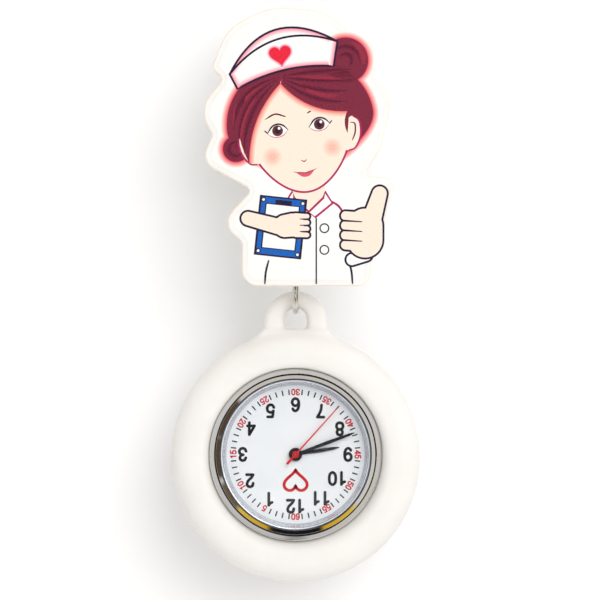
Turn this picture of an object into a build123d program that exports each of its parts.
from build123d import *
import os
from math import acos, atan2, cos, degrees, radians, sin, sqrt

# A nurse's fob watch, hanging as it is worn. Millimetres.
# Origin: the bite of the garment clip. The fabric is the plane y = 0.
# +Z up, +X to the right of someone who faces the dial, and the dial faces -Y.

# ---------------------------------------------------------------- driving dimensions

MID_Y = -9.8                 # depth of the cord, the hanging ring and the silicone loop
RUNNING_GAP = 0.05           # radial clearance of everything that turns or slides

# garment clip, stamped from steel strip
CLIP_STEEL = 0.6
CLIP_BASE_WIDTH = 9.0
CLIP_LEVER_WIDTH = 7.4
CLIP_TOP_Z = 27.0
CLIP_BASE_FRONT_Y = -4.6
CLIP_PIN_Y = -1.6
CLIP_PIN_Z = 15.0
CLIP_PIN_R = 0.6
CLIP_EAR_R = 1.4
SPRING_WIRE_R = 0.25
SPRING_COIL_R = 1.05
SPRING_TURNS = 5.44
SPRING_PITCH = 0.6
SPRING_LEG = 5.6
SPRING_START_ANGLE = 280.5

# cord reel
REEL_Z = 8.6
REEL_R = 15.0
REEL_FRONT_Y = -14.6
REEL_BACK_Y = -5.0
REEL_WALL = 1.1
REEL_POST_R = 2.5
RIVET_R = 1.5
SPOOL_FLANGE_R = 12.6
SPOOL_HUB_R = 8.2
SPOOL_HUB_WALL = 0.8
SPOOL_FLANGE = 0.6
WINDING_WIDTH = 5.4
WINDING_R = 9.2
BAND_SPRING_TURNS = 6
BAND_SPRING_THICKNESS = 0.2

# pull cord and its end
CORD_R = 0.4
CORD_EXIT_Z = REEL_Z - 16.2
STOPPER_R = 2.3
STOPPER_TOP_Z = CORD_EXIT_Z - 0.1
STOPPER_BOTTOM_Z = -15.0
EYE_HOLE_R = 1.03
EYE_WALL = 0.9
EYE_THICKNESS = 1.4

# contour-cut acrylic plate
PLATE_FRONT_Y = -18.4
PLATE_BACK_Y = -15.4
PRINT_THICKNESS = 0.1
PRINT_INSET = 1.2
PAD_R = 11.5

# hanging ring
RING_WIRE_R = 0.6
RING_R = 4.6
RING_TOP_Z = -18.16

# watch head
WATCH_Z = -54.0
CASE_R = 15.9
CASE_FRONT_Y = -13.0
CASE_BACK_Y = -6.4
BEZEL_R = 16.0
BEZEL_BORE_R = 14.15
CRYSTAL_R = 13.85
CRYSTAL_FRONT_Y = -14.35
CRYSTAL_BACK_Y = -13.15
DIAL_R = 13.8
DIAL_FRONT_Y = -11.6
DIAL_BACK_Y = -11.2
DIAL_HOLE_R = 0.75
DIAL_FOOT_R = 0.35
DIAL_FOOT_AT = 11.8

# hands: clockwise angles from 12, at 8:41:37
HOUR_ANGLE = 260.8
MINUTE_ANGLE = 249.7
SECOND_ANGLE = 222.0
HOUR_LENGTH = 8.25
MINUTE_LENGTH = 11.7
SECOND_LENGTH = 11.8
SECOND_TAIL = 2.4
HAND_HUB_R = 1.25
SECOND_HUB_R = 0.65

# silicone holder
SILICONE_R = 23.2
SILICONE_Z = WATCH_Z - 0.56
SILICONE_FRONT_Y = -15.2
SILICONE_BACK_Y = -4.3
POCKET_R = 16.06
REAR_OPENING_R = 12.0
LOOP_BAR_R = 1.55
LOOP_BAR_Z = WATCH_Z + 28.85
LOOP_OUTER_R = 5.9
LOOP_HOLE_R = 2.1
LOOP_HOLE_BOTTOM_Z = WATCH_Z + 23.3

# quartz movement, radii and places measured from the centre of the dial
MOVEMENT_R = 9.85
PLATE_A_FRONT_Y = -10.7
PLATE_A_BACK_Y = -9.7
BRIDGE_FRONT_Y = -8.3
BRIDGE_BACK_Y = -7.8
ARBOR_R = 0.12
PIVOT_HOLE_R = ARBOR_R + RUNNING_GAP
CANNON_BORE_R = 0.17
CANNON_R = 0.36
HOUR_PIPE_BORE_R = 0.41
HOUR_PIPE_R = 0.62
BATTERY_R = 3.4
BATTERY_AT = (1.58, -5.89)
COIL_Z = 7.2
COIL_HALF_LENGTH = 4.3
COIL_CORE_HALF_LENGTH = 5.8
ROTOR_MAGNET_R = 0.9
ROTOR_HOLE_R = 1.15
STEM_Y = -10.2
STEM_R = 0.35
CROWN_R = 2.0
CROWN_PULL = 0.9
BRIDGE_SCREWS_AT = [(-4.3, 3.6), (5.0, 0.2), (-3.4, -2.9), (-4.4, -6.4)]
MOTION_POST_R = 0.25

# gear train: tooth counts, modules, and the direction from each arbor to the next
ROTOR_PINION = 6
FIFTH_WHEEL = 36
FIFTH_PINION = 12
FOURTH_WHEEL = 60
FOURTH_PINION = 8
THIRD_WHEEL = 60
THIRD_PINION = 8
CENTER_WHEEL = 64
CANNON_PINION = 12
MINUTE_WHEEL = 36
MINUTE_PINION = 10
HOUR_WHEEL = 40
TRAIN_MODULE = 0.08
MOTION_MODULE = 0.09
TO_FIFTH = 35.0
FIFTH_TO_ROTOR = 60.0
TO_THIRD = 160.0
TO_MINUTE = 250.0


def arbor_distance(teeth_a, teeth_b, module):
    """Distance between the axes of two gears in mesh."""
    return (teeth_a + teeth_b) * module / 2


def polar(radius, angle):
    """The point (x, z) at a radius and an angle in degrees from +X towards +Z."""
    return (radius * cos(radians(angle)), radius * sin(radians(angle)))


FIFTH_AT = polar(arbor_distance(FIFTH_PINION, FOURTH_WHEEL, TRAIN_MODULE), TO_FIFTH)
ROTOR_STEP = polar(arbor_distance(ROTOR_PINION, FIFTH_WHEEL, TRAIN_MODULE), FIFTH_TO_ROTOR)
ROTOR_AT = (FIFTH_AT[0] + ROTOR_STEP[0], FIFTH_AT[1] + ROTOR_STEP[1])
THIRD_DISTANCE = arbor_distance(FOURTH_PINION, THIRD_WHEEL, TRAIN_MODULE)
THIRD_AT = polar(THIRD_DISTANCE, TO_THIRD)
CENTER_MODULE = 2 * THIRD_DISTANCE / (THIRD_PINION + CENTER_WHEEL)
MINUTE_DISTANCE = arbor_distance(CANNON_PINION, MINUTE_WHEEL, MOTION_MODULE)
MINUTE_AT = polar(MINUTE_DISTANCE, TO_MINUTE)
HOUR_MODULE = 2 * MINUTE_DISTANCE / (MINUTE_PINION + HOUR_WHEEL)

# outline of the acrylic plate, clockwise from the lower left corner: x, z, corner radius
PLATE_OUTLINE = [
    (-9.9, -22.7, 3.0),
    (-9.9, -14.4, 2.0),
    (-13.9, -11.2, 3.0),
    (-8.0, -4.9, 1.0),
    (-17.6, 0.3, 3.0),
    (-15.3, 5.2, 1.5),
    (-17.9, 9.9, 5.0),
    (-13.4, 15.6, 1.0),
    (-15.6, 17.6, 1.5),
    (-12.6, 24.8, 8.0),
    (-5.2, 28.9, 12.0),
    (5.2, 28.3, 10.0),
    (10.5, 23.6, 3.0),
    (14.6, 22.3, 2.5),
    (14.5, 17.0, 1.2),
    (17.9, 11.6, 5.0),
    (15.7, 2.6, 6.0),
    (12.5, -2.3, 0.8),
    (19.0, -2.6, 2.2),
    (16.9, -8.8, 6.0),
    (16.0, -14.6, 3.0),
    (13.9, -18.6, 3.0),
    (13.9, -22.7, 2.5),
]


# ---------------------------------------------------------------- helpers

def slab(outline, front_y, back_y, x=0.0, z=0.0):
    """A flat piece between two depths, from an outline drawn in x and z."""
    solid = extrude(Plane.XZ * outline, amount=back_y - front_y)
    return Pos(x, back_y, z) * solid


def rod_y(radius, front_y, back_y, x=0.0, z=0.0):
    """A round rod along Y."""
    return slab(Circle(radius), front_y, back_y, x, z)


def rod_x(radius, low_x, high_x, y, z):
    """A round rod along X."""
    rod = Rot(0, 90, 0) * Cylinder(radius, high_x - low_x)
    return Pos((low_x + high_x) / 2, y, z) * rod


def rod_z(radius, low_z, high_z, x, y):
    """A round rod along Z."""
    return Pos(x, y, (low_z + high_z) / 2) * Cylinder(radius, high_z - low_z)


def block(low, high):
    """A box between two corners."""
    size = [b - a for a, b in zip(low, high)]
    middle = [(a + b) / 2 for a, b in zip(low, high)]
    return Pos(*middle) * Box(*size)


def turned(profile, centre_z):
    """A solid of revolution about a line along Y, from points (radius, y)."""
    face = make_face(Polyline(*profile, close=True))
    return Pos(0, 0, centre_z) * revolve(face, Axis.Y)


def turned_rounded(profile, centre_z):
    """A solid of revolution from points (radius, y, corner radius)."""
    points = [(radius, y) for radius, y, _ in profile]
    radii = [corner for _, _, corner in profile]
    face = make_face(FilletPolyline(*points, radius=radii, close=True))
    return Pos(0, 0, centre_z) * revolve(face, Axis.Y)


def strip(outline, width):
    """A bent metal strip, from an outline drawn in y and z, centred on x = 0."""
    face = Plane.YZ * make_face(Polyline(*outline, close=True))
    return extrude(face, amount=width / 2, both=True)


def ear(outline, hole_r, low_x, high_x):
    """One upright ear with a pin hole, from an outline drawn in y and z."""
    plate = make_face(Polyline(*outline, close=True))
    plate = plate + Pos(CLIP_PIN_Y, CLIP_PIN_Z) * Circle(CLIP_EAR_R)
    plate = plate - Pos(CLIP_PIN_Y, CLIP_PIN_Z) * Circle(hole_r)
    return Pos(low_x, 0, 0) * extrude(Plane.YZ * plate, amount=high_x - low_x)


def gear(teeth, module, aim, at, front_y, back_y):
    """A gear with straight flanks; the middle of one tooth points at the angle aim."""
    pitch_r = teeth * module / 2
    tip_r = pitch_r + 0.8 * module
    root_r = pitch_r - 1.1 * module
    corners = [(root_r, -0.31), (tip_r, -0.13), (tip_r, 0.13), (root_r, 0.31)]
    points = []
    for tooth in range(teeth):
        for radius, share in corners:
            points.append(polar(radius, aim + (tooth + share) * 360 / teeth))
    face = make_face(Polyline(*points, close=True))
    return slab(face, front_y, back_y, at[0], WATCH_Z + at[1])


def gear_pair_aims(direction, follower_teeth):
    """Tooth angles that put a tooth of one gear in a gap of the next one."""
    return direction, direction + 180 + 180 / follower_teeth


def at_watch(radius, at, front_y, back_y):
    """A round rod along Y at a place measured from the centre of the dial."""
    return rod_y(radius, front_y, back_y, at[0], WATCH_Z + at[1])


def clock_direction(angle):
    """Angle from +X of a clock angle; 12 o'clock points down, for the wearer."""
    return -90 - angle


# ---------------------------------------------------------------- garment clip

def jaw_notches(y):
    """Round cutters that leave teeth along the end of a jaw."""
    cutters = []
    for step in range(-3, 4):
        cutters.append(rod_y(0.35, y - 2.0, y + 2.0, step * 1.1, -0.35))
    return cutters


def clip_base():
    front = CLIP_BASE_FRONT_Y
    back = front + CLIP_STEEL
    outline = [
        (front, CLIP_TOP_Z),
        (back, CLIP_TOP_Z),
        (back, 4.6),
        (-0.35, 0.0),
        (-0.82, -0.37),
        (front, 4.4),
    ]
    base = strip(outline, CLIP_BASE_WIDTH)
    base -= rod_y(RIVET_R + 0.02, front - 1, back + 1, 0, REEL_Z)
    ear_outline = [(back - 0.1, 12.4), (back - 0.1, 17.6), (-0.9, 16.2), (-0.9, 13.8)]
    outer = CLIP_BASE_WIDTH / 2
    base += ear(ear_outline, CLIP_PIN_R + 0.02, outer - CLIP_STEEL, outer)
    base += ear(ear_outline, CLIP_PIN_R + 0.02, -outer, CLIP_STEEL - outer)
    return base - jaw_notches(-0.5)


def clip_lever():
    outline = [
        (0.25, -0.2),
        (0.45, 18.0),
        (5.4, 27.0),
        (5.95, 26.7),
        (1.1, 17.8),
        (0.85, -0.2),
    ]
    lever = strip(outline, CLIP_LEVER_WIDTH)
    ear_outline = [(0.6, 12.6), (0.6, 17.4), (-0.9, 16.2), (-0.9, 13.8)]
    outer = CLIP_LEVER_WIDTH / 2
    hole_r = CLIP_PIN_R + RUNNING_GAP
    lever += ear(ear_outline, hole_r, outer - CLIP_STEEL, outer)
    lever += ear(ear_outline, hole_r, -outer, CLIP_STEEL - outer)
    return lever - jaw_notches(0.5)


def clip_pin():
    head_x = CLIP_BASE_WIDTH / 2 + 0.02
    pin = rod_x(CLIP_PIN_R, -head_x, head_x, CLIP_PIN_Y, CLIP_PIN_Z)
    pin += rod_x(CLIP_PIN_R + 0.3, head_x, head_x + 0.3, CLIP_PIN_Y, CLIP_PIN_Z)
    pin += rod_x(CLIP_PIN_R + 0.3, -head_x - 0.3, -head_x, CLIP_PIN_Y, CLIP_PIN_Z)
    return pin


def clip_spring():
    """A torsion spring round the pin, whose straight legs push the two tails apart."""
    length = SPRING_TURNS * SPRING_PITCH
    helix = Helix(SPRING_PITCH, length, SPRING_COIL_R)
    base_leg = Line(helix @ 0 - (helix % 0) * SPRING_LEG, helix @ 0)
    lever_leg = Line(helix @ 1, helix @ 1 + (helix % 1) * SPRING_LEG)
    path = Wire([base_leg, helix, lever_leg])
    section = Plane(origin=path @ 0, z_dir=path % 0) * Circle(SPRING_WIRE_R)
    # the helix runs along Z: turned to run along X, with its first leg towards the base
    turn = Rot(0, 90, 0) * Rot(0, 0, SPRING_START_ANGLE)
    return Pos(-length / 2, CLIP_PIN_Y, CLIP_PIN_Z) * turn * sweep(section, path=path)


def swivel_rivet():
    back = CLIP_BASE_FRONT_Y + CLIP_STEEL
    inside = REEL_BACK_Y - REEL_WALL - RUNNING_GAP
    rivet = rod_y(RIVET_R, inside - 0.1, back + 0.1, 0, REEL_Z)
    rivet += rod_y(2.4, inside - 0.8, inside, 0, REEL_Z)
    cap = rod_y(2.2, back + 0.01, back + 0.7, 0, REEL_Z)
    cap = chamfer(cap.edges().group_by(Axis.Y)[-1], 0.3)
    return rivet + cap


def swivel_washer():
    outline = Circle(4.2) - Circle(RIVET_R + RUNNING_GAP)
    return slab(outline, REEL_BACK_Y + 0.05, CLIP_BASE_FRONT_Y - 0.02, 0, REEL_Z)


# ---------------------------------------------------------------- cord reel

SPOOL_FRONT_Y = MID_Y - WINDING_WIDTH / 2 - SPOOL_FLANGE
SPOOL_BACK_Y = MID_Y + WINDING_WIDTH / 2 + SPOOL_FLANGE
EYELET_R = 2.0


def reel_front_cover():
    inner = REEL_FRONT_Y + REEL_WALL
    seam = REEL_BACK_Y - REEL_WALL
    profile = [
        (0, REEL_FRONT_Y, 0),
        (REEL_R, REEL_FRONT_Y, 1.2),
        (REEL_R, seam - 0.02, 0),
        (REEL_R - REEL_WALL, seam - 0.02, 0),
        (REEL_R - REEL_WALL, inner, 0.5),
        (REEL_POST_R, inner, 0),
        (REEL_POST_R, seam - 1.4, 0),
        (0, seam - 1.4, 0),
    ]
    cover = turned_rounded(profile, REEL_Z)
    return cover - rod_z(EYELET_R + 0.02, CORD_EXIT_Z - 2, CORD_EXIT_Z + 5, 0, MID_Y)


def reel_back_cover():
    seam = REEL_BACK_Y - REEL_WALL
    rim_r = REEL_R - REEL_WALL - 0.03
    profile = [
        (RIVET_R + RUNNING_GAP, REEL_BACK_Y, 0),
        (REEL_R, REEL_BACK_Y, 0.6),
        (REEL_R, seam, 0),
        (rim_r, seam, 0),
        (rim_r, seam - 1.6, 0),
        (rim_r - 0.9, seam - 1.6, 0),
        (rim_r - 0.9, seam, 0),
        (RIVET_R + RUNNING_GAP, seam, 0),
    ]
    cover = turned_rounded(profile, REEL_Z)
    return cover - rod_z(EYELET_R + 0.1, CORD_EXIT_Z - 2, CORD_EXIT_Z + 5, 0, MID_Y)


def cord_eyelet():
    top = CORD_EXIT_Z + 2.6
    shell = rod_z(EYELET_R, CORD_EXIT_Z, top, 0, MID_Y)
    shell += rod_z(EYELET_R + 0.6, CORD_EXIT_Z, CORD_EXIT_Z + 0.8, 0, MID_Y)
    shell = fillet(shell.edges().group_by(Axis.Z)[0], 0.3)
    bore = rod_z(CORD_R + 0.1, CORD_EXIT_Z - 1, top, 0, MID_Y)
    flare = Pos(0, MID_Y, top - 1.0) * Cone(CORD_R + 0.1, EYELET_R - 0.25, 2.0)
    return shell - bore - flare


def spool():
    hub_inner = SPOOL_HUB_R - SPOOL_HUB_WALL
    front = MID_Y - WINDING_WIDTH / 2
    back = MID_Y + WINDING_WIDTH / 2
    profile = [
        (REEL_POST_R + RUNNING_GAP, SPOOL_FRONT_Y),
        (SPOOL_FLANGE_R, SPOOL_FRONT_Y),
        (SPOOL_FLANGE_R, front),
        (SPOOL_HUB_R, front),
        (SPOOL_HUB_R, back),
        (SPOOL_FLANGE_R, back),
        (SPOOL_FLANGE_R, SPOOL_BACK_Y),
        (hub_inner, SPOOL_BACK_Y),
        (hub_inner, front),
        (REEL_POST_R + RUNNING_GAP, front),
    ]
    return turned(profile, REEL_Z)


def reel_spring():
    """The flat spiral spring that winds the cord in, with its inner end by the post."""
    inner_r = REEL_POST_R + 0.3
    outer_r = SPOOL_HUB_R - SPOOL_HUB_WALL - 0.5
    steps = BAND_SPRING_TURNS * 12
    edges = []
    for offset in (0.0, BAND_SPRING_THICKNESS):
        points = []
        for step in range(steps + 1):
            radius = inner_r + offset + (outer_r - inner_r) * step / steps
            points.append(polar(radius, step * 30))
        edges.append(Spline(*points))
    inner_edge, outer_edge = edges
    edges.append(Line(inner_edge @ 0, outer_edge @ 0))
    edges.append(Line(inner_edge @ 1, outer_edge @ 1))
    return slab(make_face(edges), MID_Y - 2.2, MID_Y + 2.2, 0, REEL_Z)


def cord_winding():
    outline = Circle(WINDING_R) - Circle(SPOOL_HUB_R + 0.02)
    half = WINDING_WIDTH / 2 - 0.02
    return slab(outline, MID_Y - half, MID_Y + half, 0, REEL_Z)


def cord_lead():
    """The cord inside the reel, from the side of the winding down into the eyelet."""
    bend_z = CORD_EXIT_Z + 1.6
    lead_r = WINDING_R + CORD_R + RUNNING_GAP
    angle = acos(lead_r / (REEL_Z - bend_z))
    start = (lead_r * sin(angle), MID_Y, REEL_Z - lead_r * cos(angle))
    route = FilletPolyline(start, (0, MID_Y, bend_z), (0, MID_Y, CORD_EXIT_Z), radius=2.5)
    section = Plane(origin=route @ 0, z_dir=route % 0) * Circle(CORD_R)
    return sweep(section, path=route)


def cord_tail():
    return rod_z(CORD_R, STOPPER_TOP_Z - 3.0, CORD_EXIT_Z, 0, MID_Y)


def cord_stopper():
    eye_z = RING_TOP_Z + EYE_HOLE_R - RING_WIRE_R - 0.12
    body = rod_z(STOPPER_R, STOPPER_BOTTOM_Z, STOPPER_TOP_Z, 0, MID_Y)
    body = fillet(body.edges().filter_by(GeomType.CIRCLE), 0.7)
    half = EYE_THICKNESS / 2
    eye = rod_y(EYE_HOLE_R + EYE_WALL, MID_Y - half, MID_Y + half, 0, eye_z)
    neck = block((-1.3, MID_Y - half, eye_z), (1.3, MID_Y + half, STOPPER_BOTTOM_Z + 0.8))
    hole = rod_y(EYE_HOLE_R, MID_Y - 2, MID_Y + 2, 0, eye_z)
    bore = rod_z(CORD_R + 0.03, STOPPER_TOP_Z - 3.02, STOPPER_TOP_Z + 1, 0, MID_Y)
    return body + eye + neck - hole - bore


# ---------------------------------------------------------------- plate and ring

def plate_face():
    points = [(x, z) for x, z, _ in PLATE_OUTLINE]
    radii = [corner for _, _, corner in PLATE_OUTLINE]
    return make_face(FilletPolyline(*points, radius=radii, close=True))


def acrylic_plate():
    plate = slab(plate_face(), PLATE_FRONT_Y, PLATE_BACK_Y)
    rims = plate.edges().group_by(Axis.Y)
    return chamfer(rims[0] + rims[-1], 0.25)


def print_film():
    inset = offset(plate_face(), amount=-PRINT_INSET)
    return slab(inset, PLATE_FRONT_Y - PRINT_THICKNESS, PLATE_FRONT_Y)


def foam_pad():
    return rod_y(PAD_R, PLATE_BACK_Y, REEL_FRONT_Y, 0, REEL_Z)


def hanging_ring():
    ring = Rot(0, 90, 0) * Torus(RING_R, RING_WIRE_R)
    return Pos(0, MID_Y, RING_TOP_Z - RING_R) * ring


# ---------------------------------------------------------------- silicone holder

def silicone_body():
    inner_r = POCKET_R - 0.6
    profile = [
        (inner_r, -13.2, 0.3),
        (17.3, SILICONE_FRONT_Y, 2.0),
        (21.6, SILICONE_FRONT_Y, 4.0),
        (SILICONE_R, -12.2, 3.0),
        (SILICONE_R, -7.4, 3.0),
        (21.8, SILICONE_BACK_Y, 1.6),
        (REAR_OPENING_R, SILICONE_BACK_Y, 0.3),
        (REAR_OPENING_R, -5.15, 0.2),
        (inner_r, -5.15, 0.3),
    ]
    points = [(radius, y) for radius, y, _ in profile]
    radii = [corner for _, _, corner in profile]
    face = make_face(FilletPolyline(*points, radius=radii, close=True))
    return Pos(0, 0, SILICONE_Z) * revolve(face, Axis.Y)


def silicone_loop():
    arch_z = LOOP_BAR_Z + LOOP_BAR_R - LOOP_OUTER_R
    low_z = WATCH_Z + 20.0
    outline = Pos(0, arch_z) * Circle(LOOP_OUTER_R)
    outline += Pos(0, (arch_z + low_z) / 2) * Rectangle(2 * LOOP_OUTER_R, arch_z - low_z)
    hole_arch_z = LOOP_BAR_Z - LOOP_BAR_R - LOOP_HOLE_R
    outline -= Pos(0, hole_arch_z) * Circle(LOOP_HOLE_R)
    hole_height = hole_arch_z - LOOP_HOLE_BOTTOM_Z
    hole_middle = (hole_arch_z + LOOP_HOLE_BOTTOM_Z) / 2
    outline -= Pos(0, hole_middle) * Rectangle(2 * LOOP_HOLE_R, hole_height)
    loop = slab(outline, MID_Y - LOOP_BAR_R, MID_Y + LOOP_BAR_R)
    rims = loop.edges().group_by(Axis.Y)
    return fillet(rims[0] + rims[-1], LOOP_BAR_R - 0.12)


def silicone_foot():
    """The flared foot that the loop stands on."""
    outline = [
        (-9.8, 19.8),
        (-8.3, 21.3),
        (-LOOP_OUTER_R, 23.3),
        (LOOP_OUTER_R, 23.3),
        (8.3, 21.3),
        (9.8, 19.8),
    ]
    face = make_face(Polyline(*outline, close=True))
    foot = slab(face, MID_Y - 2.4, MID_Y + 2.4, 0, WATCH_Z)
    rims = foot.edges().group_by(Axis.Y)
    return fillet(rims[0] + rims[-1], 0.8)


def silicone_cover():
    cover = silicone_body() + silicone_foot() + silicone_loop()
    # the pocket is centred on the watch, and the outside a little lower
    cover -= rod_y(POCKET_R, SILICONE_FRONT_Y - 1, -5.2, 0, WATCH_Z)
    cover -= rod_y(REAR_OPENING_R, -5.3, SILICONE_BACK_Y + 1, 0, WATCH_Z)
    cavity_end = -CASE_R - 2.5 - CROWN_PULL - 0.5
    return cover - rod_x(CROWN_R + 0.4, cavity_end, -CASE_R + 0.5, STEM_Y, WATCH_Z)


# ---------------------------------------------------------------- watch case

def watch_case():
    profile = [
        (13.95, CASE_FRONT_Y, 0),
        (CASE_R, CASE_FRONT_Y, 0.15),
        (CASE_R, CASE_BACK_Y, 0.4),
        (13.95, CASE_BACK_Y, 0),
    ]
    case = turned_rounded(profile, WATCH_Z)
    groove = slab(Circle(14.75) - Circle(14.15), CASE_BACK_Y - 0.4, CASE_BACK_Y + 1, 0, WATCH_Z)
    case -= groove
    return case - rod_x(0.82, -CASE_R - 1, -13, STEM_Y, WATCH_Z)


def crown_tube():
    tube = rod_x(0.8, -CASE_R - 0.3, -14.0, STEM_Y, WATCH_Z)
    return tube - rod_x(STEM_R + RUNNING_GAP, -CASE_R - 1, -13, STEM_Y, WATCH_Z)


def bezel():
    profile = [
        (BEZEL_BORE_R, CASE_FRONT_Y - 0.02, 0),
        (BEZEL_R, CASE_FRONT_Y - 0.02, 0.1),
        (BEZEL_R, -14.6, 0.35),
        (15.1, -14.95, 0.3),
        (14.8, -14.95, 0.08),
        (BEZEL_BORE_R, -14.42, 0.08),
    ]
    return turned_rounded(profile, WATCH_Z)


def crystal():
    glass = rod_y(CRYSTAL_R, CRYSTAL_FRONT_Y, CRYSTAL_BACK_Y, 0, WATCH_Z)
    return chamfer(glass.edges().group_by(Axis.Y)[0], 0.25)


def crystal_gasket():
    outline = Circle(BEZEL_BORE_R - 0.02) - Circle(CRYSTAL_R + 0.02)
    return slab(outline, CRYSTAL_FRONT_Y + 0.3, CRYSTAL_BACK_Y, 0, WATCH_Z)


def rehaut_ring():
    front = CRYSTAL_BACK_Y + 0.03
    back = DIAL_FRONT_Y - 0.03
    profile = [(13.8, front), (13.8, back), (12.9, back), (13.45, front)]
    return turned(profile, WATCH_Z)


def dial_feet(radius, front_y, back_y):
    """Two round feet, or their holes, left and right of the centre."""
    feet = []
    for side in (-1, 1):
        at = (side * DIAL_FOOT_AT * cos(radians(40)), DIAL_FOOT_AT * sin(radians(40)))
        feet.append(at_watch(radius, at, front_y, back_y))
    return feet


def dial():
    outline = Circle(DIAL_R) - Circle(DIAL_HOLE_R)
    plate = slab(outline, DIAL_FRONT_Y, DIAL_BACK_Y, 0, WATCH_Z)
    return plate + dial_feet(DIAL_FOOT_R, DIAL_BACK_Y - 0.1, DIAL_BACK_Y + 1.5)


def case_back():
    profile = [
        (0, -5.3, 0),
        (14.2, -5.3, 0.3),
        (15.2, -5.9, 0.2),
        (15.2, CASE_BACK_Y + 0.03, 0),
        (13.85, CASE_BACK_Y + 0.03, 0),
        (13.85, -6.85, 0),
        (13.2, -6.85, 0),
        (13.2, -6.2, 0),
        (0, -6.2, 0),
    ]
    return turned_rounded(profile, WATCH_Z)


def back_gasket():
    outline = Circle(14.73) - Circle(14.17)
    return slab(outline, CASE_BACK_Y - 0.38, CASE_BACK_Y, 0, WATCH_Z)


# ---------------------------------------------------------------- hands

def hand(points, angle, hub_r, bore_r, front_y, back_y):
    """A flat hand from points (distance along it, half width), with a round hub."""
    near_side = [(along, half) for along, half in points]
    far_side = [(along, -half) for along, half in reversed(points)]
    blade = make_face(Polyline(*near_side, *far_side, close=True))
    outline = Rot(0, 0, clock_direction(angle)) * blade + Circle(hub_r)
    return slab(outline - Circle(bore_r), front_y, back_y, 0, WATCH_Z)


def hour_hand():
    points = [(0, 0.30), (1.6, 0.26), (4.6, 0.36), (7.2, 0.26), (HOUR_LENGTH, 0.08)]
    return hand(points, HOUR_ANGLE, HAND_HUB_R, HOUR_PIPE_R + 0.01, -12.1, -11.9)


def minute_hand():
    points = [(0, 0.30), (1.6, 0.26), (6.6, 0.34), (10.6, 0.26), (MINUTE_LENGTH, 0.08)]
    return hand(points, MINUTE_ANGLE, HAND_HUB_R, CANNON_R + 0.01, -12.45, -12.25)


def second_hand():
    points = [(-SECOND_TAIL, 0.2), (-0.6, 0.14), (0.6, 0.12), (SECOND_LENGTH, 0.06)]
    return hand(points, SECOND_ANGLE, SECOND_HUB_R, ARBOR_R + 0.01, -12.85, -12.65)


# ---------------------------------------------------------------- quartz movement

def movement_holder():
    ring = Circle(13.7) - Circle(MOVEMENT_R + 0.05)
    holder = slab(ring, DIAL_BACK_Y + 0.05, -6.9, 0, WATCH_Z)
    holder -= dial_feet(DIAL_FOOT_R + 0.05, DIAL_BACK_Y - 1, DIAL_BACK_Y + 1.6)
    return holder - rod_x(0.9, -15, -9, STEM_Y, WATCH_Z)


def main_plate():
    plate = at_watch(MOVEMENT_R, (0, 0), PLATE_A_FRONT_Y, PLATE_A_BACK_Y)
    plate += at_watch(MOTION_POST_R, MINUTE_AT, PLATE_A_FRONT_Y - 0.42, PLATE_A_FRONT_Y + 0.1)
    for at in BRIDGE_SCREWS_AT:
        plate += at_watch(0.7, at, PLATE_A_BACK_Y - 0.1, BRIDGE_FRONT_Y - 0.02)
        plate -= at_watch(0.32, at, PLATE_A_BACK_Y - 0.2, BRIDGE_FRONT_Y + 0.1)
    plate -= at_watch(BATTERY_R + 0.08, BATTERY_AT, PLATE_A_FRONT_Y + 0.15, BRIDGE_BACK_Y)
    plate -= at_watch(CANNON_R + RUNNING_GAP, (0, 0), PLATE_A_FRONT_Y - 1, PLATE_A_BACK_Y + 1)
    for at in (FIFTH_AT, ROTOR_AT, THIRD_AT):
        plate -= at_watch(PIVOT_HOLE_R, at, PLATE_A_FRONT_Y + 0.2, PLATE_A_BACK_Y + 1)
    channel_low = (-MOVEMENT_R - 1, PLATE_A_FRONT_Y - 0.1, WATCH_Z - 0.6)
    channel_high = (-3.4, PLATE_A_BACK_Y + 0.1, WATCH_Z + 0.6)
    return plate - block(channel_low, channel_high)


def train_bridge():
    outline = Circle(3.0)
    for at, radius in ((FIFTH_AT, 1.8), (ROTOR_AT, 1.5), (THIRD_AT, 2.2)):
        outline += Pos(*at) * Circle(radius)
    for at in BRIDGE_SCREWS_AT[:3]:
        outline += Pos(*at) * Circle(1.0)
        arm_length = sqrt(at[0] ** 2 + at[1] ** 2)
        arm_angle = degrees(atan2(at[1], at[0]))
        outline += Rot(0, 0, arm_angle) * Pos(arm_length / 2, 0) * Rectangle(arm_length, 1.6)
        outline -= Pos(*at) * Circle(0.34)
    outline -= Pos(*BATTERY_AT) * Circle(BATTERY_R + 0.15)
    for at in ((0, 0), FIFTH_AT, ROTOR_AT, THIRD_AT):
        outline -= Pos(*at) * Circle(PIVOT_HOLE_R)
    return slab(outline, BRIDGE_FRONT_Y, BRIDGE_BACK_Y, 0, WATCH_Z)


def screw(at, under_head_y):
    """A small slotted screw whose head sits at one depth."""
    body = at_watch(0.3, at, under_head_y - 1.3, under_head_y + 0.1)
    body += at_watch(0.6, at, under_head_y + 0.01, under_head_y + 0.3)
    slot_low = (at[0] - 1, under_head_y + 0.18, WATCH_Z + at[1] - 0.07)
    slot_high = (at[0] + 1, under_head_y + 1, WATCH_Z + at[1] + 0.07)
    return body - block(slot_low, slot_high)


def bridge_screws():
    screws = [screw(at, BRIDGE_BACK_Y) for at in BRIDGE_SCREWS_AT[:3]]
    screws.append(screw(BRIDGE_SCREWS_AT[3], BRIDGE_FRONT_Y + 0.16))
    return Compound(children=screws)


def battery():
    profile = [
        (0, -10.45, 0),
        (2.9, -10.45, 0.1),
        (2.9, -10.2, 0),
        (BATTERY_R, -10.2, 0.2),
        (BATTERY_R, -7.9, 0.2),
        (0, -7.9, 0),
    ]
    cell = turned_rounded(profile, WATCH_Z + BATTERY_AT[1])
    return Pos(BATTERY_AT[0], 0, 0) * cell


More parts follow.
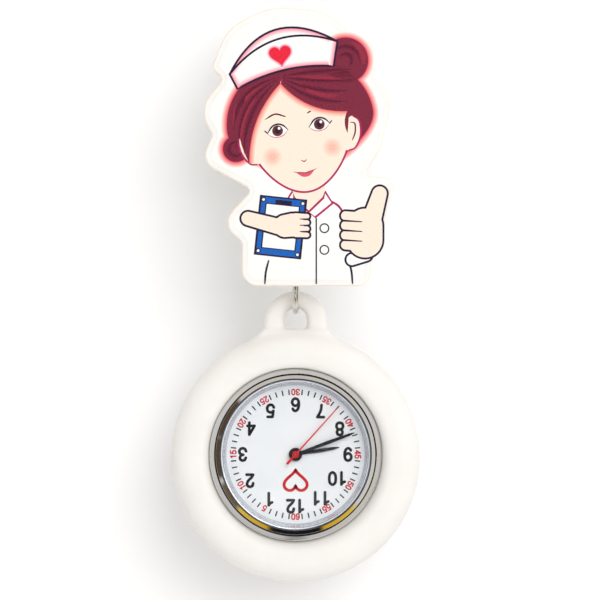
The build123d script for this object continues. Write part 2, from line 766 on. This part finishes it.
def battery_strap():
    """A sprung steel arm from its own screw post over the back of the cell."""
    screw_at = BRIDGE_SCREWS_AT[3]
    post_pad = at_watch(1.0, screw_at, BRIDGE_FRONT_Y, BRIDGE_FRONT_Y + 0.15)
    post_pad -= at_watch(0.34, screw_at, BRIDGE_FRONT_Y - 1, BRIDGE_FRONT_Y + 1)
    cell_edge_x = BATTERY_AT[0] - BATTERY_R - 0.3
    low_z = WATCH_Z + screw_at[1] - 0.6
    high_z = WATCH_Z + screw_at[1] + 0.6
    low_arm = block(
        (screw_at[0] + 0.7, BRIDGE_FRONT_Y, low_z),
        (cell_edge_x, BRIDGE_FRONT_Y + 0.15, high_z),
    )
    rise = block((cell_edge_x - 0.15, BRIDGE_FRONT_Y, low_z), (cell_edge_x, -7.7, high_z))
    high_arm = block((cell_edge_x - 0.15, -7.85, low_z), (BATTERY_AT[0], -7.7, high_z))
    contact = at_watch(1.3, BATTERY_AT, -7.85, -7.7)
    return post_pad + low_arm + rise + high_arm + contact


def coil_core():
    low = (-COIL_CORE_HALF_LENGTH, -9.23, WATCH_Z + COIL_Z - 0.5)
    high = (COIL_CORE_HALF_LENGTH, -8.85, WATCH_Z + COIL_Z + 0.5)
    return block(low, high)


def coil_winding():
    """Copper wire on a bobbin with two end flanges."""
    half = COIL_HALF_LENGTH
    low = (-half, -9.6, WATCH_Z + COIL_Z - 0.9)
    high = (half, -8.5, WATCH_Z + COIL_Z + 0.9)
    winding = fillet(block(low, high).edges().filter_by(Axis.X), 0.4)
    for end in (-1, 1):
        near = end * half
        far = end * (half + 0.25)
        flange_low = (min(near, far), -9.66, WATCH_Z + COIL_Z - 1.0)
        flange_high = (max(near, far), -8.42, WATCH_Z + COIL_Z + 1.0)
        winding += block(flange_low, flange_high)
    core_low = (-half - 1, -9.25, WATCH_Z + COIL_Z - 0.52)
    core_high = (half + 1, -8.83, WATCH_Z + COIL_Z + 0.52)
    return winding - block(core_low, core_high)


def stator():
    arm_x = COIL_CORE_HALF_LENGTH - 0.55
    outline = Pos(0, 4.9) * Rectangle(2 * COIL_CORE_HALF_LENGTH, 1.3)
    for side in (-1, 1):
        outline += Pos(side * arm_x, 6.1) * Rectangle(1.1, 3.2)
    outline += Pos(*ROTOR_AT) * Circle(1.8)
    outline -= Pos(*ROTOR_AT) * Circle(ROTOR_HOLE_R)
    outline -= Pos(*FIFTH_AT) * Circle(0.4)
    outline -= Pos(*BRIDGE_SCREWS_AT[0]) * Circle(0.8)
    return slab(outline, -9.65, -9.25, 0, WATCH_Z)


def rotor():
    aims = gear_pair_aims(FIFTH_TO_ROTOR, ROTOR_PINION)
    magnet = at_watch(ROTOR_MAGNET_R, ROTOR_AT, -9.65, -9.3)
    arbor = at_watch(ARBOR_R, ROTOR_AT, PLATE_A_FRONT_Y + 0.25, BRIDGE_BACK_Y - 0.05)
    pinion = gear(ROTOR_PINION, TRAIN_MODULE, aims[1], ROTOR_AT, -9.35, -8.95)
    return magnet + arbor + pinion


def fifth_wheel():
    wheel_aim = gear_pair_aims(FIFTH_TO_ROTOR, ROTOR_PINION)[0]
    pinion_aim = gear_pair_aims(TO_FIFTH, FIFTH_PINION)[1]
    wheel = gear(FIFTH_WHEEL, TRAIN_MODULE, wheel_aim, FIFTH_AT, -9.15, -9.0)
    pinion = gear(FIFTH_PINION, TRAIN_MODULE, pinion_aim, FIFTH_AT, -9.05, -8.5)
    arbor = at_watch(ARBOR_R, FIFTH_AT, PLATE_A_FRONT_Y + 0.25, BRIDGE_BACK_Y - 0.05)
    return wheel + pinion + arbor


def seconds_wheel():
    wheel_aim = gear_pair_aims(TO_FIFTH, FIFTH_PINION)[0]
    pinion_aim = gear_pair_aims(TO_THIRD, THIRD_WHEEL)[0]
    wheel = gear(FOURTH_WHEEL, TRAIN_MODULE, wheel_aim, (0, 0), -8.8, -8.62)
    pinion = gear(FOURTH_PINION, TRAIN_MODULE, pinion_aim, (0, 0), -9.3, -8.75)
    arbor = at_watch(ARBOR_R, (0, 0), -12.92, BRIDGE_BACK_Y - 0.05)
    return wheel + pinion + arbor


def third_wheel():
    wheel_aim = gear_pair_aims(TO_THIRD, THIRD_WHEEL)[1]
    pinion_aim = gear_pair_aims(TO_THIRD, THIRD_PINION)[1]
    wheel = gear(THIRD_WHEEL, TRAIN_MODULE, wheel_aim, THIRD_AT, -9.2, -9.02)
    pinion = gear(THIRD_PINION, CENTER_MODULE, pinion_aim, THIRD_AT, -9.65, -9.15)
    arbor = at_watch(ARBOR_R, THIRD_AT, PLATE_A_FRONT_Y + 0.25, BRIDGE_BACK_Y - 0.05)
    return wheel + pinion + arbor


def center_wheel():
    wheel_aim = gear_pair_aims(TO_THIRD, THIRD_PINION)[0]
    pinion_aim = gear_pair_aims(TO_MINUTE, MINUTE_WHEEL)[0]
    wheel = gear(CENTER_WHEEL, CENTER_MODULE, wheel_aim, (0, 0), -9.6, -9.42)
    pinion = gear(CANNON_PINION, MOTION_MODULE, pinion_aim, (0, 0), -10.94, -10.75)
    tube = at_watch(CANNON_R, (0, 0), -12.5, -9.4)
    bore = at_watch(CANNON_BORE_R, (0, 0), -13, -9)
    return wheel + pinion + tube - bore


def minute_wheel():
    wheel_aim = gear_pair_aims(TO_MINUTE, MINUTE_WHEEL)[1]
    pinion_aim = gear_pair_aims(TO_MINUTE, MINUTE_PINION)[1]
    wheel = gear(MINUTE_WHEEL, MOTION_MODULE, wheel_aim, MINUTE_AT, -10.93, -10.77)
    pinion = gear(MINUTE_PINION, HOUR_MODULE, pinion_aim, MINUTE_AT, -11.13, -10.9)
    return wheel + pinion - at_watch(MOTION_POST_R + 0.02, MINUTE_AT, -12, -10)


def hour_wheel():
    aim = gear_pair_aims(TO_MINUTE, MINUTE_PINION)[0]
    wheel = gear(HOUR_WHEEL, HOUR_MODULE, aim, (0, 0), -11.13, -10.99)
    pipe = at_watch(HOUR_PIPE_R, (0, 0), -12.15, -11.0)
    return wheel + pipe - at_watch(HOUR_PIPE_BORE_R, (0, 0), -13, -10)


def circuit_board():
    """A crescent of board at the edge of the movement, with its chip under a blob."""
    outline = Circle(MOVEMENT_R - 0.3) & Pos(-7.6, 0) * Rectangle(4.0, 13.0)
    board = slab(outline, -8.75, -8.55, 0, WATCH_Z)
    blob = at_watch(0.9, (-6.9, 4.2), -8.6, -8.1)
    blob = fillet(blob.edges().group_by(Axis.Y)[-1], 0.35)
    return board + blob


def quartz_can():
    middle_y = -8.55 + 0.02 + 0.7
    can = Pos(-7.7, middle_y, WATCH_Z - 1.0) * Cylinder(0.7, 4.6)
    return fillet(can.edges().filter_by(GeomType.CIRCLE), 0.15)


# ---------------------------------------------------------------- crown and stem

def stem():
    rod = rod_x(STEM_R, -CASE_R - 1.6, -3.7, STEM_Y, WATCH_Z)
    groove = rod_x(STEM_R + 1, -5.3, -4.9, STEM_Y, WATCH_Z)
    groove -= rod_x(0.2, -5.3, -4.9, STEM_Y, WATCH_Z)
    return rod - groove


def sliding_pinion():
    teeth = 10
    outline = Circle(0.5)
    for tooth in range(teeth):
        outline -= Rot(0, 0, tooth * 360 / teeth) * Pos(0.5, 0) * Circle(0.06)
    outline -= Circle(STEM_R + 0.01)
    body = Plane.YZ * outline
    return Pos(-4.6, STEM_Y, WATCH_Z) * extrude(body, amount=0.8)


def setting_lever():
    """A flat lever whose pin sits in the groove of the stem."""
    outline = make_face(Polyline((-5.6, 0.4), (-3.9, 0.4), (-3.9, -0.5), (-5.6, -2.4), close=True))
    lever = slab(outline, -9.65, -9.47, 0, WATCH_Z)
    pin = at_watch(0.12, (-5.1, 0.0), STEM_Y + 0.25, -9.5)
    return lever + pin


def crown():
    outline = Circle(CROWN_R)
    notches = 24
    for notch in range(notches):
        angle = notch * 360 / notches
        outline -= Rot(0, 0, angle) * Pos(CROWN_R, 0) * Circle(0.14)
    knob = extrude(Plane.YZ * outline, amount=2.0)
    knob = Pos(-CASE_R - 2.4, STEM_Y, WATCH_Z) * knob
    return knob - rod_x(STEM_R + 0.01, -CASE_R - 1.61, -CASE_R, STEM_Y, WATCH_Z)


NODES = {
    "clip_base": clip_base,
    "clip_lever": clip_lever,
    "clip_pin": clip_pin,
    "clip_spring": clip_spring,
    "swivel_rivet": swivel_rivet,
    "swivel_washer": swivel_washer,
    "reel_front_cover": reel_front_cover,
    "reel_back_cover": reel_back_cover,
    "cord_eyelet": cord_eyelet,
    "spool": spool,
    "reel_spring": reel_spring,
    "cord_winding": cord_winding,
    "cord_lead": cord_lead,
    "cord_tail": cord_tail,
    "cord_stopper": cord_stopper,
    "acrylic_plate": acrylic_plate,
    "print_film": print_film,
    "foam_pad": foam_pad,
    "hanging_ring": hanging_ring,
    "silicone_cover": silicone_cover,
    "watch_case": watch_case,
    "crown_tube": crown_tube,
    "bezel": bezel,
    "crystal": crystal,
    "crystal_gasket": crystal_gasket,
    "rehaut_ring": rehaut_ring,
    "dial": dial,
    "case_back": case_back,
    "back_gasket": back_gasket,
    "hour_hand": hour_hand,
    "minute_hand": minute_hand,
    "second_hand": second_hand,
    "movement_holder": movement_holder,
    "main_plate": main_plate,
    "train_bridge": train_bridge,
    "bridge_screws": bridge_screws,
    "battery": battery,
    "battery_strap": battery_strap,
    "coil_core": coil_core,
    "coil_winding": coil_winding,
    "stator": stator,
    "rotor": rotor,
    "fifth_wheel": fifth_wheel,
    "seconds_wheel": seconds_wheel,
    "third_wheel": third_wheel,
    "center_wheel": center_wheel,
    "minute_wheel": minute_wheel,
    "hour_wheel": hour_wheel,
    "circuit_board": circuit_board,
    "quartz_can": quartz_can,
    "stem": stem,
    "sliding_pinion": sliding_pinion,
    "setting_lever": setting_lever,
    "crown": crown,
}

os.makedirs("parts", exist_ok=True)
for name, make in NODES.items():
    export_step(make(), f"parts/{name}.step")
